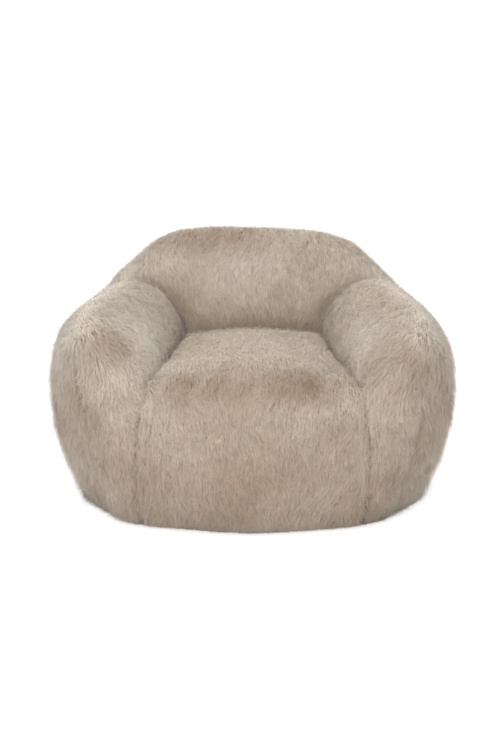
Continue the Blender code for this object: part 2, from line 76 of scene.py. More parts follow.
CURVE_STEPS = 40  # between two points of a seam, before it is cut evenly
WELD_STEP = 0.0002  # points on the same spot to within this are one
SKIN_DEPTH, BACKING = 0.005, 0.004  # how far below the CAD surface it lies, and its thickness
HOLLOW_REACH, RING_REACH, ROLL_REACH, SEAM_REACH = 0.030, 0.004, 0.075, 0.020
HOLLOW_HOLD, SEAM_HOLD = 0.85, 0.6  # how far a hollow stays sharp, and a seam stays put
ROUNDING_STEPS, ROLLING_STEPS, FOLLOW = 6, 14, 0.5
CLOTH_FRAMES, PRESSURE, STIFFNESS, BENDING, CLOTH_MASS = 20, 4.0, 12, 0.6, 0.4
MOST_SWELL, LEAST_HOLD = 0.007, 0.02
DENTS = ((0.0035, 0.16, 3), (0.0015, 0.06, 4))  # depth, size and seed
SEAM_GROOVE, SKIN_FLOOR = 0.010, 0.0015
LINER_DEPTH, LINER_FLOOR, LINER_GIVE = 0.012, 0.030, 0.75

# ---- the pile --------------------------------------------------------------------------------
STRANDS_PER_M2, STRANDS_PER_PIECE = 200000, 65000
PILE_LENGTH, PILE_WIDTH = 0.036, 0.0012
LONGER_OR_SHORTER, WIDER_OR_NARROWER = (0.70, 1.10), (0.75, 1.25)
STRAND_FLOOR, MIDDLE_TAPER, SHADED_ALONG = 0.0008, 0.9, 0.35

# the lie of the pile on each panel, and how it strays from it
COMB = {
    "seat_panel": (0.0, -1.0, -0.15),
    "front_panel": (0.0, 0.0, -1.0),
    "back_front_panel": (0.0, -0.2, -1.0),
    "back_rear_panel": (0.0, 0.1, -1.0),
    "arm_inner_panel": (-0.9, -0.45, -0.3),
    "arm_front_panel": (0.10, 0.0, -1.0),
    "side_panel": (0.35, -0.20, -0.9),
}
COMB_STEPS = 60
SWIRLS = ((0.40, 0.13, 21), (0.28, 0.04, 22))  # angle, size and seed
STRAY, TWIST = 0.17, 0.22

# the rise of a strand's middle above its root and the droop of its tip below that, as parts
# of its length; guard strands stand up out of the coat
RISE, RISE_SPREAD, GUARD_RISE, HEM_RISE = 0.24, 0.025, 0.12, 0.10
DROOP, GUARD_DROOP = (0.04, 0.16), (-0.26, -0.04)
MIDDLE_REACH, TIP_REACH, TIP_SAG = 0.44, 0.95, 0.08
GUARD_SHARE, GUARD_LONGER, GUARD_NARROWER, GUARD_STRAY = 0.16, 0.15, 0.35, 0.35

# tufts lean together; they lie calmer where the surface looks up and along the edges with the
# painted rim highlight
TUFT_SIZE, TUFT_GATHER, MOST_LEAN = 0.0052, 0.14, 1.6
TUFT_LONGER, TUFT_RISE, TUFT_TURN, CALM = 0.05, 0.022, 0.07, 0.6

# shorter strands along the seams, and a ragged hem at the floor
SEAM_STRANDS_REACH, SEAM_SHORTER, EDGE_STRANDS_REACH = 0.013, 0.80, 0.055
HEM_HEIGHT, HEM_LONGER, HEM_CLEAR, HEM_SPLAY = 0.020, 0.20, 0.003, 0.35

# ---- the zips' teeth, cloth and metal --------------------------------------------------------
COIL_PITCH, COIL_WIRE, TURN_STEPS, WIRE_SIDES = 0.0016, 0.00034, 7, 5
ONE_THREAD = 0.314  # the wave texture's scale that gives one thread to the metre

# dark and light colour, and for woven cloth the threads' spacing and the depth of the weave
BACKING_COLOURS = ((0.40, 0.31, 0.235), (0.48, 0.375, 0.285))
METAL_COLOURS = ((0.48, 0.45, 0.41), (0.60, 0.57, 0.53))
NYLON = ((0.30, 0.25, 0.205), (0.40, 0.335, 0.28), 0.0006, 0.5)
LINING = ((0.72, 0.71, 0.68), (0.82, 0.81, 0.78), 0.0008, 0.4)
CANVAS = ((0.25, 0.21, 0.175), (0.35, 0.30, 0.255), 0.0016, 0.7)

# ---- the pile's colours ----------------------------------------------------------------------
TIP_COLOUR = np.array((0.685, 0.585, 0.480))
ROOT_COLOUR = np.array((0.50, 0.41, 0.325))
BROWN = np.array((0.76, 0.69, 0.63))
# painted light: a brighter, cooler tint for strands on faces that look up, inward or outward
PAINTED_LIGHT_TINT = np.array((1.12, 1.19, 1.27))
# painted highlight: a paler, cooler tint along the edges and in some patches
PAINTED_HIGHLIGHT_TINT = np.array((1.30, 1.36, 1.44))
THROUGH_LIGHT = 0.40  # how much of its light a strand lets through
ROOT_SHARE = 0.35  # of the root's colour in a strand's middle
# painted shade: darker strands near the floor, and darker roots along the seams
TUFT_SHADE, STRAND_SHADE, HEM_PAINTED_SHADE, SEAM_PAINTED_SHADE = 0.085, 0.05, 0.28, 0.6
WANDER, FINE = (0.17, 41), (0.05, 42)  # size and seed of broad and of fine unevenness
BROWNNESS = (0.28, 0.5, 0.2)  # away from the patches: a level, and what the two add to it
PATCH_DEPTH = (0.85, 0.2, 0.25)  # the same for the patches themselves
# painted light: less brown on faces that look up or inward, and how much of the brighter, cooler
# tint goes where the surface looks up, inward or outward
MOST_BROWN, PAINTED_LIGHT_UP_BROWN_CUT, PAINTED_LIGHT_IN_BROWN_CUT = 0.6, 0.8, 0.7
UPWARD_GAIN, PAINTED_LIGHT_INWARD, PAINTED_LIGHT_OUTWARD = 1.3, 0.9, 0.6
# painted rim highlight along the back's top and side edges and the arms' outer edges
PAINTED_RIM_HIGHLIGHT = 0.7

# ---- camera, lights and floor ----------------------------------------------------------------
CAMERA_ELEVATION, CAMERA_DISTANCE, CAMERA_AIM = math.radians(12), 4.0, 0.324
SENSOR, FOCAL_LENGTH, CAMERA_SHIFT = 36, 73.7705, -0.0022
LIT_POINT, WORLD_LIGHT = Vector((0, 0, 0.3)), 1.2
LAMPS = (  # name, place, size, power and colour
    ("overhead", (0, 0.2, 2.8), (2.6, 2.2), 20, (0.96, 0.98, 1.0)),
    ("front", (-0.7, -3.0, 1.5), (2.4, 1.8), 42, (1.0, 0.99, 0.97)),
    ("rim", (0, 3.2, 1.7), (3.4, 1.2), 45, (0.95, 0.98, 1.0)),
)
FLOOR_REACH, FLOOR_GAP, FLOOR_COLOUR, FLOOR_GLOW = 14, 0.0005, (0.55, 0.55, 0.55), 0.60

# ---- patches in the pile: middle, radius and strength ----------------------------------------
BROWN_PATCHES = (
    ((-0.11, -0.425, 0.365), (0.17, 0.07, 0.040), 1.0),
    ((0.13, -0.425, 0.370), (0.15, 0.07, 0.038), 0.95),
    ((-0.10, -0.44, 0.30), (0.09, 0.06, 0.05), 0.5),
    ((0.20, -0.44, 0.27), (0.07, 0.06, 0.06), 0.45),
    ((-0.350, -0.33, 0.445), (0.075, 0.10, 0.06), 0.65),
    ((0.36, -0.36, 0.40), (0.08, 0.08, 0.06), 0.6),
    ((-0.37, -0.36, 0.21), (0.06, 0.08, 0.14), 0.7),
    ((-0.10, 0.30, 0.625), (0.16, 0.12, 0.040), 0.65),
    ((0.17, 0.28, 0.55), (0.11, 0.12, 0.07), 0.45),
)
# painted highlights: pale, cool patches on the arms' inner faces and on the back's lower middle
PAINTED_HIGHLIGHT_PATCHES = (
    ((-0.285, -0.26, 0.43), (0.085, 0.16, 0.07), 1.0),
    ((0.27, -0.22, 0.44), (0.06, 0.14, 0.06), 0.6),
    ((0, 0.16, 0.50), (0.24, 0.12, 0.09), 0.35),
)


def seam(points, count):
    """Evenly spaced points on a smooth curve through the given ones."""
    knots = np.array(points, float)
    at = np.concatenate([[0], np.cumsum(np.linalg.norm(np.diff(knots, axis=0), axis=1))])
    slopes = np.gradient(knots, at, axis=0) if len(knots) > 2 else None
    fine = []
    for i in range(len(knots) - 1):
        span = at[i + 1] - at[i]
        t = np.linspace(0, 1, CURVE_STEPS)[:, None]
        if slopes is None:
            fine.append(knots[i] + t * (knots[i + 1] - knots[i]))
            continue
        fine.append(
            (2 * t**3 - 3 * t**2 + 1) * knots[i]
            + (t**3 - 2 * t**2 + t) * span * slopes[i]
            + (3 * t**2 - 2 * t**3) * knots[i + 1]
            + (t**3 - t**2) * span * slopes[i + 1]
        )
    line = np.concatenate(fine)
    length = np.concatenate([[0], np.cumsum(np.linalg.norm(np.diff(line, axis=0), axis=1))])
    even = np.linspace(0, length[-1], count + 1)
    return np.stack([np.interp(even, length, line[:, k]) for k in range(3)], axis=1)


def flipped(curve):
    """The same points on the other side of the chair."""
    return curve * (-1, 1, 1)


def joined(*curves):
    """Curves laid end to end, each starting where the last one stops."""
    return np.concatenate([curves[0]] + [c[1:] for c in curves[1:]])


def pillow(bottom, top, left, right, bulge, lift=1.0):
    """A grid of points between four seams. It swells by bulge at its middle, or above its
    middle where lift is over 1."""
    u = np.linspace(0, 1, len(bottom))[:, None, None]
    v = np.linspace(0, 1, len(left))[None, :, None]
    flat = (
        (1 - v) * bottom[:, None]
        + v * top[:, None]
        + (1 - u) * left[None]
        + u * right[None]
        - (1 - u) * (1 - v) * bottom[0]
        - u * (1 - v) * bottom[-1]
        - (1 - u) * v * top[0]
        - u * v * top[-1]
    )
    out = np.cross(np.gradient(flat, axis=0), np.gradient(flat, axis=1))
    out /= np.maximum(np.linalg.norm(out, axis=2, keepdims=True), 1e-9)
    up = v**lift
    return flat + out * bulge * (16 * u * (1 - u) * up * (1 - up)) ** FULLNESS


def seams():
    """The seams of the right half and the middle, each an array of points."""
    half_front, half_back = SEAT_FRONT_WIDTH / 2, SEAT_BACK_WIDTH / 2
    half_arm = ARM_SEAM_WIDTH / 2
    back_y = SEAT_FRONT_Y + SEAT_DEPTH
    ring_front, ring_rear = -FOOTPRINT_DEPTH / 2, FOOTPRINT_DEPTH / 2
    seat_corner = (half_front, SEAT_FRONT_Y + 0.012, SEAT_HEIGHT - 0.037)
    back_corner = (half_back, back_y - 0.010, SEAT_HEIGHT - 0.004)
    arm_corner = (half_arm, SEAT_FRONT_Y + 0.120, ARM_SEAM_HEIGHT)
    shoulder = (0.357, back_y + 0.060, SHOULDER_HEIGHT)
    top_corner = (0.282, back_y + 0.205, BACK_HEIGHT - 0.054)
    shoulder_slope = (shoulder[1] - back_corner[1]) / (shoulder[0] - half_back)

    def on_shoulder_line(x, z):
        return (x, back_corner[1] + (x - half_back) * shoulder_slope, z)

    ring_crease = (half_front + 0.002, ring_front + 0.060, 0)
    ring_arm = (0.352, ring_front + 0.150, 0)
    ring_back = (0.340, ring_rear - 0.100, 0)
    return {
        "seat_front": seam(
            [flipped(np.array(seat_corner)), (0, SEAT_FRONT_Y - 0.012, SEAT_HEIGHT), seat_corner],
            ACROSS_SEAT,
        ),
        "seat_back": seam(
            [flipped(np.array(back_corner)), (0, back_y, SEAT_HEIGHT - 0.006), back_corner],
            ACROSS_SEAT,
        ),
        "crease": seam(
            [
                seat_corner,
                ((half_front + half_back) / 2, back_y - SEAT_DEPTH / 2, SEAT_HEIGHT - 0.030),
                back_corner,
            ],
            ALONG_ARM,
        ),
        "shoulder": seam(
            [
                back_corner,
                on_shoulder_line(0.218, SHOULDER_HEIGHT - 0.072),
                on_shoulder_line(0.275, SHOULDER_HEIGHT - 0.018),
                shoulder,
            ],
            ACROSS_ARM,
        ),
        "arm_rim": seam([seat_corner, (0.350, -0.385, 0.416), arm_corner], ACROSS_ARM),
        "arm_outer": seam(
            [arm_corner, (half_arm + 0.008, -0.120, 0.490), (0.398, 0.070, 0.508), shoulder],
            ALONG_ARM,
        ),
        "back_side": seam([shoulder, (0.326, back_y + 0.125, 0.584), top_corner], UP_BACK),
        "top": seam(
            [
                flipped(np.array(top_corner)),
                (-0.150, back_y + 0.215, BACK_HEIGHT - 0.019),
                (0, back_y + 0.218, BACK_HEIGHT - 0.014),
                (0.150, back_y + 0.215, BACK_HEIGHT - 0.019),
                top_corner,
            ],
            ACROSS_ALL,
        ),
        "front_side": seam(
            [
                ring_crease,
                (half_front + 0.016, -0.418, 0.100),
                (half_front + 0.014, -0.436, 0.240),
                seat_corner,
            ],
            UP_SIDE,
        ),
        "arm_side": seam(
            [
                ring_arm,
                (half_arm - 0.070, -0.305, 0.080),
                (half_arm - 0.040, -0.340, 0.230),
                (half_arm - 0.008, -0.336, 0.375),
                arm_corner,
            ],
            UP_SIDE,
        ),
        "rear_side": seam(
            [
                ring_back,
                (0.385, 0.370, 0.130),
                (0.400, 0.374, 0.280),
                (0.368, 0.376, 0.420),
                (0.322, 0.360, 0.530),
                top_corner,
            ],
            UP_SIDE,
        ),
        "ring_front": seam(
            [flipped(np.array(ring_crease)), (0, ring_front, 0), ring_crease], ACROSS_SEAT
        ),
        "ring_arm": seam([ring_crease, (0.315, -0.320, 0), ring_arm], ACROSS_ARM),
        "ring_side": seam(
            [ring_arm, (0.424, -0.140, 0), (0.448, 0.030, 0), (0.424, 0.200, 0), ring_back],
            ALONG_SIDE,
        ),
        "ring_rear": seam(
            [
                flipped(np.array(ring_back)),
                (-0.170, ring_rear - 0.018, 0),
                (0, ring_rear, 0),
                (0.170, ring_rear - 0.018, 0),
                ring_back,
            ],
            ACROSS_ALL,
        ),
    }


def panel_grids():
    """{panel: its grid of points}, on the cover's outer face."""
    s = seams()
    shoulder_to_shoulder = joined(flipped(s["shoulder"])[::-1], s["seat_back"], s["shoulder"])
    side_top = joined(s["arm_outer"], s["back_side"])
    right = {
        "arm_inner_panel": pillow(
            s["arm_rim"], s["shoulder"], s["crease"], s["arm_outer"], ARM_BULGE
        ),
        "arm_front_panel": pillow(
            s["ring_arm"], s["arm_rim"], s["front_side"], s["arm_side"], ARM_END_BULGE
        ),
        "side_panel": pillow(
            s["ring_side"], side_top, s["arm_side"], s["rear_side"], SIDE_BULGE, SIDE_LIFT
        ),
    }
    grids = {
        "seat_panel": pillow(
            s["seat_front"], s["seat_back"], flipped(s["crease"]), s["crease"], SEAT_BULGE
        ),
        "front_panel": pillow(
            s["ring_front"],
            s["seat_front"],
            flipped(s["front_side"]),
            s["front_side"],
            FRONT_BULGE,
        ),
        "back_front_panel": pillow(
            shoulder_to_shoulder, s["top"], flipped(s["back_side"]), s["back_side"], BACK_BULGE
        ),
        "back_rear_panel": pillow(
            s["ring_rear"][::-1],
            s["top"][::-1],
            s["rear_side"],
            flipped(s["rear_side"]),
            BACK_BULGE,
        ),
    }
    for name, points in right.items():
        grids[name + "_right"] = points
        grids[name + "_left"] = flipped(points)[::-1]
    return grids


# ---- shaping the skin ----------------------------------------------------------------------
def welded_skin(grids):
    """All the panels' points as one mesh: points, quads, and each panel's array of indices."""
    keys, points, index, quads = {}, [], {}, []
    for name, grid in grids.items():
        ids = np.empty(grid.shape[:2], int)
        for place in np.ndindex(ids.shape):
            key = tuple(np.round(grid[place] / WELD_STEP).astype(int))
            if key not in keys:
                keys[key] = len(points)
                points.append(grid[place])
            ids[place] = keys[key]
        index[name] = ids
        quads.append(
            np.stack([ids[:-1, :-1], ids[1:, :-1], ids[1:, 1:], ids[:-1, 1:]], -1).reshape(-1, 4)
        )
    return np.array(points), np.concatenate(quads), index


def point_normals(points, quads):
    """The way out at each point of the skin."""
    a, b, c, d = (points[quads[:, k]] for k in range(4))
    face = np.cross(c - a, d - b)
    normals = np.zeros_like(points)
    for k in range(4):
        np.add.at(normals, quads[:, k], face)
    return normals / np.maximum(np.linalg.norm(normals, axis=1, keepdims=True), 1e-12)


def near_any(points, curves, reach):
    """How near each point is to these seams: 1 on one, falling to 0 at reach and beyond."""
    line = np.concatenate(curves)
    best = np.full(len(points), np.inf)
    at_once = 40  # more of them together would take too much memory
    for start in range(0, len(line), at_once):
        away = np.linalg.norm(points[:, None] - line[None, start : start + at_once], axis=2)
        best = np.minimum(best, away.min(axis=1))
    return np.clip(1 - best / reach, 0, 1)


def rounded_off(points, quads, free, steps):
    """Smooths the ridges. free is how far each point may follow its neighbours, 0 to 1."""
    ends = np.concatenate([quads[:, [k, (k + 1) % 4]] for k in range(4)])
    count = np.bincount(ends[:, 0], minlength=len(points)) + np.bincount(
        ends[:, 1], minlength=len(points)
    )
    for _ in range(steps):
        total = np.zeros_like(points)
        np.add.at(total, ends[:, 0], points[ends[:, 1]])
        np.add.at(total, ends[:, 1], points[ends[:, 0]])
        points = points + FOLLOW * free[:, None] * (total / count[:, None] - points)
    return points


def swollen(points, quads, held):
    """Cloth blown out from inside for CLOTH_FRAMES frames. held is how firmly each point is
    held, 0 to 1. No point goes further than MOST_SWELL."""
    mesh = bpy.data.meshes.new("skin_cloth")
    mesh.from_pydata(points.tolist(), [], quads.tolist())
    obj = bpy.data.objects.new("skin_cloth", mesh)
    bpy.context.scene.collection.objects.link(obj)
    group = obj.vertex_groups.new(name="held")
    for i in np.flatnonzero(held > LEAST_HOLD):
        group.add([int(i)], float(held[i]), "REPLACE")
    cloth = obj.modifiers.new("cloth", "CLOTH")
    settings = cloth.settings
    settings.quality = 5
    settings.mass = CLOTH_MASS
    settings.tension_stiffness = settings.compression_stiffness = STIFFNESS
    settings.bending_stiffness = BENDING
    settings.use_pressure = True
    settings.uniform_pressure_force = PRESSURE
    settings.vertex_group_mass = "held"
    settings.effector_weights.gravity = 0
    cloth.collision_settings.use_collision = False
    scene = bpy.context.scene
    scene.frame_start, scene.frame_end = 1, CLOTH_FRAMES
    cloth.point_cache.frame_start, cloth.point_cache.frame_end = 1, CLOTH_FRAMES
    for step in range(1, CLOTH_FRAMES + 1):
        scene.frame_set(step)
    graph = bpy.context.evaluated_depsgraph_get()
    moved = np.empty(len(points) * 3, np.float32)
    obj.evaluated_get(graph).data.vertices.foreach_get("co", moved)
    scene.frame_set(1)
    bpy.data.objects.remove(obj)
    move = moved.reshape(-1, 3) - points
    size = np.linalg.norm(move, axis=1, keepdims=True)
    return points + move * np.minimum(1, MOST_SWELL / np.maximum(size, 1e-9))


def smooth_noise(points, size, seed):
    """A value at each point, mostly -1 to 1, that changes over about this size. It is the
    sum of ten plane waves, scaled down by four."""
    waves = np.random.default_rng(seed)
    value = np.zeros(len(points))
    for _ in range(10):
        direction = waves.normal(size=3)
        direction *= 2 * math.pi / (size * waves.uniform(0.8, 2.4) * np.linalg.norm(direction))
        value += np.sin(points @ direction + waves.uniform(0, 2 * math.pi))
    return value / 4


def noises(points, layers):
    """Layers of smooth noise, each given as its strength, size and seed, added up."""
    return sum(strength * smooth_noise(points, size, seed) for strength, size, seed in layers)


def shape_skin():
    """The skin in its final shape: its points, quads and indices by panel, and the curves of
    the seams that show and of the edges."""
    curves = seams()

    def both_sides(names):
        return [side for name in names for side in (curves[name], flipped(curves[name]))]

    rings = [name for name in curves if name.startswith("ring")]
    points, quads, index = welded_skin(panel_grids())
    hollow = near_any(points, both_sides(HOLLOW_SEAMS), HOLLOW_REACH)
    ring = near_any(points, both_sides(rings), RING_REACH)
    free = (1 - HOLLOW_HOLD * hollow) * (1 - ring)
    points = rounded_off(points, quads, free, ROUNDING_STEPS)
    rolled = near_any(points, both_sides(ROLLED_SEAMS), ROLL_REACH)
    points = rounded_off(points, quads, free * rolled, ROLLING_STEPS)
    points = points - point_normals(points, quads) * SKIN_DEPTH * (1 - ring)[:, None]
    sewn = near_any(points, both_sides(SEAMS_THAT_SHOW), SEAM_REACH)
    points = swollen(points, quads, np.maximum(np.maximum(ring, hollow), SEAM_HOLD * sewn))
    normals = point_normals(points, quads)
    dent = noises(points, DENTS) - SEAM_GROOVE * sewn**2
    points = points + normals * (dent * (1 - ring))[:, None]
    points[:, 2] = np.maximum(points[:, 2], SKIN_FLOOR)
    return points, quads, index, (both_sides(SEAMS_THAT_SHOW), both_sides(EDGE_SEAMS))


# ---- growing the pile -----------------------------------------------------------------------
def comb_of(name):
    """The way a panel's pile lies. The left panels mirror the right."""
    side = 1
    if name.endswith(("_left", "_right")):
        side = -1 if name.endswith("_left") else 1
        name = name.rsplit("_", 1)[0]
    x, y, z = COMB[name]
    return np.array((x * side, y, z))


def combed(points, quads, index):
    """The way the pile lies at each point, turning gradually from panel to panel."""
    combs = np.zeros_like(points)
    for name, ids in index.items():
        combs[ids.ravel()] += comb_of(name)
    return rounded_off(combs, quads, np.ones(len(points)), COMB_STEPS)


def unit(vectors):
    """Each vector at length 1."""
    return vectors / np.maximum(np.linalg.norm(vectors, axis=1, keepdims=True), 1e-9)


def turned(vectors, axes, angles):
    """Each vector turned about its axis."""
    c, s = np.cos(angles)[:, None], np.sin(angles)[:, None]
    dot = np.sum(vectors * axes, axis=1, keepdims=True)
    return vectors * c + np.cross(axes, vectors) * s + axes * dot * (1 - c)


def tuft_centres(u, v, size):
    """For each strand, the number of its tuft and the way to that tuft's middle."""
    shuffle = np.random.default_rng(11)
    cells = (int(u.max() / size) + 3, int(v.max() / size) + 3)
    jitter = shuffle.uniform(0, 1, (*cells, 2))
    cu, cv = (u / size).astype(int) + 1, (v / size).astype(int) + 1
    best, tuft, away = np.full(len(u), 1e9), np.zeros(len(u), int), np.zeros((len(u), 2))
    for du in (-1, 0, 1):
        for dv in (-1, 0, 1):
            a, b = np.clip(cu + du, 0, cells[0] - 1), np.clip(cv + dv, 0, cells[1] - 1)
            gap_u = (a - 1 + jitter[a, b, 0]) * size - u
            gap_v = (b - 1 + jitter[a, b, 1]) * size - v
            gap = gap_u**2 + gap_v**2
            closer = gap < best
            best = np.where(closer, gap, best)
            tuft = np.where(closer, a * cells[1] + b, tuft)
            away[closer] = np.stack([gap_u, gap_v], 1)[closer]
    return tuft, away


def roots_on(points, normals, combs, ids, density):
    """Random places on a panel: position, normal, the two surface directions, the distance
    along each, and the way the pile lies."""
    corner = [points[i] for i in (ids[:-1, :-1], ids[1:, :-1], ids[1:, 1:], ids[:-1, 1:])]
    area = 0.5 * np.linalg.norm(
        np.cross(corner[2] - corner[0], corner[3] - corner[1]), axis=2
    )
    count = int(area.sum() * density)
    chosen = rng.choice(area.size, count, p=(area / area.sum()).ravel())
    i, j = np.unravel_index(chosen, area.shape)
    s, t = rng.uniform(0, 1, (2, count))
    weights = [(1 - s) * (1 - t), s * (1 - t), s * t, (1 - s) * t]
    places = [ids[i, j], ids[i + 1, j], ids[i + 1, j + 1], ids[i, j + 1]]
    root = sum(w[:, None] * points[p] for w, p in zip(weights, places))
    normal = unit(sum(w[:, None] * normals[p] for w, p in zip(weights, places)))
    along = unit(points[places[1]] + points[places[2]] - points[places[0]] - points[places[3]])
    up = unit(points[places[3]] + points[places[2]] - points[places[0]] - points[places[1]])
    step = math.sqrt(area.mean())
    comb = sum(w[:, None] * combs[p] for w, p in zip(weights, places))
    return root, normal, along, up, (i + s) * step, (j + t) * step, comb


def grow(points, normals, combs, ids, curves):
    """A panel's strands: three stations for each, the surface normal, the lie and whether it
    is a guard strand. Then what colours them: the tuft's tone, and how near a seam or an edge
    they are."""
    root, normal, along, up, u, v, comb = roots_on(points, normals, combs, ids, STRANDS_PER_M2)
    count = len(root)
    lie = unit(comb - normal * np.sum(normal * comb, axis=1, keepdims=True))
    lie = turned(lie, normal, noises(root, SWIRLS) + rng.normal(0, STRAY, count))
    tuft, away = tuft_centres(u, v, TUFT_SIZE)
    lean = np.random.default_rng(31).normal(0, 1, (tuft.max() + 1, 3))
    longer, higher, aside = lean.clip(-MOST_LEAN, MOST_LEAN)[tuft].T
    seam_near = near_any(root, curves[0], SEAM_STRANDS_REACH)
    edge_near = near_any(root, curves[1], EDGE_STRANDS_REACH)
    guard = rng.uniform(0, 1, count) < GUARD_SHARE
    hem = np.exp(-root[:, 2] / HEM_HEIGHT)
    calm = 1 - CALM * np.maximum(np.clip(normal[:, 2], 0, 1), np.minimum(1, 2 * edge_near))

    length = PILE_LENGTH * rng.uniform(*LONGER_OR_SHORTER, count) * (1 + TUFT_LONGER * longer)
    length *= (1 - SEAM_SHORTER * seam_near) * (1 + GUARD_LONGER * guard)
    length *= 1 + HEM_LONGER * hem * (0.5 + longer)
    rise = RISE + TUFT_RISE * calm * higher + rng.normal(0, RISE_SPREAD, count)
    rise += GUARD_RISE * guard + HEM_RISE * hem
    droop = np.where(guard, rng.uniform(*GUARD_DROOP, count), rng.uniform(*DROOP, count))
    turn = TUFT_TURN * calm * aside + GUARD_STRAY * guard * rng.normal(0, 1, count)
    lie = turned(lie, normal, turn)

    gather = (along * away[:, :1] + up * away[:, 1:]) * TUFT_GATHER
    middle = root + (lie * MIDDLE_REACH + normal * rise[:, None]) * length[:, None]
    tip = root + (lie * TIP_REACH + normal * (rise - droop)[:, None]) * length[:, None] + gather
    tip[:, 2] -= TIP_SAG * length
    for station in (middle, tip):
        below = np.clip(HEM_CLEAR - station[:, 2], 0, None)
        station[:, :2] += unit(normal[:, :2]) * HEM_SPLAY * below[:, None]
    return (root, middle, tip, normal, lie, guard), (longer, seam_near, edge_near)


def patches(root, places):
    """How far each strand belongs to the nearest of these patches, 0 to 1."""
    most = np.zeros(len(root))
    for middle, radius, strength in places:
        away = np.sum(((root - middle) / radius) ** 2, axis=1)
        most = np.maximum(most, strength * np.exp(-away))
    return most


def tints(root, normal, tone, seam_near, edge_near):
    """Root and tip colours of each strand: browner in patches, with painted light (less brown,
    brighter and cooler) where it looks up or sideways, painted highlights along the edges and in
    some patches, and painted shade near the floor and along the seams."""
    wander, fine = smooth_noise(root, *WANDER), smooth_noise(root, *FINE)

    def uneven(level, broad_part, fine_part):
        return level + broad_part * wander + fine_part * fine

    facing_in = -np.sign(root[:, 0]) * normal[:, 0]
    inward, outward = np.clip(facing_in, 0, 1), np.clip(-facing_in, 0, 1)
    upward = np.clip(UPWARD_GAIN * normal[:, 2], 0, 1)
    brown = MOST_BROWN * np.clip(uneven(*BROWNNESS), 0, 1)
    # painted light: less brown where the surface looks up or inward
    brown *= (1 - PAINTED_LIGHT_UP_BROWN_CUT * upward) * (1 - PAINTED_LIGHT_IN_BROWN_CUT * inward)
    spots = patches(root, BROWN_PATCHES) * np.clip(uneven(*PATCH_DEPTH), 0, 1.1)
    brown = np.clip(np.maximum(brown, spots), 0, 1)[:, None]
    # painted light: brighter and cooler where the surface looks up, inward or outward
    painted_light = upward + PAINTED_LIGHT_INWARD * inward + PAINTED_LIGHT_OUTWARD * outward
    painted_light = np.clip(painted_light, 0, 1)[:, None] * (1 - brown)
    # painted highlight: paler along the edges and in the highlight patches
    painted_highlight = np.maximum(patches(root, PAINTED_HIGHLIGHT_PATCHES), PAINTED_RIM_HIGHLIGHT * edge_near)[:, None] * (1 - brown)
    hem = np.exp(-root[:, 2:] / HEM_HEIGHT)
    shade = (1 + TUFT_SHADE * tone + rng.normal(0, STRAND_SHADE, len(root)))[:, None]
    # painted shade: darker towards the floor
    shade = shade * (1 - HEM_PAINTED_SHADE * hem)
    tint = (1 + brown * (BROWN - 1)) * (1 + painted_light * (PAINTED_LIGHT_TINT - 1)) * (1 + painted_highlight * (PAINTED_HIGHLIGHT_TINT - 1))
    # painted shade: roots darker along the seams
    base = ROOT_COLOUR * tint * (1 - SEAM_PAINTED_SHADE * seam_near[:, None])
    return np.clip(base, 0, 1), np.clip(TIP_COLOUR * tint * shade, 0, 1)


def pile_mesh(name, strands, colours):
    """Strands as thin tapering blades: five points, a quad and a triangle each."""
    root, middle, tip, normal, lie, guard = strands
    base_colour, tip_colour = colours
    count = len(root)
    side = turned(unit(np.cross(lie, normal)), lie, rng.normal(0, TWIST, count))
    width = PILE_WIDTH * rng.uniform(*WIDER_OR_NARROWER, count) * (1 - GUARD_NARROWER * guard)
    half = side * width[:, None] / 2
    stations = np.stack(
        [
            root - half,
            root + half,
            middle - half * MIDDLE_TAPER,
            middle + half * MIDDLE_TAPER,
            tip,
        ],
        axis=1,
    )
    stations[:, :, 2] = np.maximum(stations[:, :, 2], STRAND_FLOOR)
    first = np.arange(count)[:, None] * 5
    loops = np.concatenate([first + (0, 1, 3, 2), first + (2, 3, 4)], axis=1).ravel()
    mesh = bpy.data.meshes.new(name)
    mesh.vertices.add(count * 5)
    mesh.vertices.foreach_set("co", stations.astype(np.float32).ravel())
    mesh.loops.add(count * 7)
    mesh.loops.foreach_set("vertex_index", loops.astype(np.int32))
    mesh.polygons.add(count * 2)
    starts = (np.arange(count)[:, None] * 7 + (0, 4)).ravel()
    mesh.polygons.foreach_set("loop_start", starts.astype(np.int32))
    mesh.update(calc_edges=True)
    mesh.polygons.foreach_set("use_smooth", np.ones(count * 2, bool))
    between = base_colour * ROOT_SHARE + tip_colour * (1 - ROOT_SHARE)
    shade = np.ones((count, 5, 4), np.float32)
    for k, colour in enumerate((base_colour, base_colour, between, between, tip_colour)):
        shade[:, k, :3] = colour
    mesh.color_attributes.new("pile_colour", "FLOAT_COLOR", "POINT")
    mesh.color_attributes["pile_colour"].data.foreach_set("color", shade.ravel())
    soft = unit(normal + SHADED_ALONG * lie)
    mesh.normals_split_custom_set_from_vertices(np.repeat(soft, 5, axis=0).tolist())
    lay_out(mesh, count)
    return mesh


def lay_out(mesh, count):
    """A small cell of the texture for each strand."""
    columns = math.ceil(math.sqrt(count))
    cell = 1 / columns
    corner = np.stack([np.arange(count) % columns, np.arange(count) // columns], 1) * cell
    inside = np.array(
        [(0.2, 0.15), (0.8, 0.15), (0.8, 0.6), (0.2, 0.6), (0.2, 0.6), (0.8, 0.6), (0.5, 0.9)]
    )
    uv = corner[:, None] + inside[None] * cell
    mesh.uv_layers.new(name="OFBake")
    mesh.uv_layers["OFBake"].data.foreach_set("uv", uv.astype(np.float32).ravel())


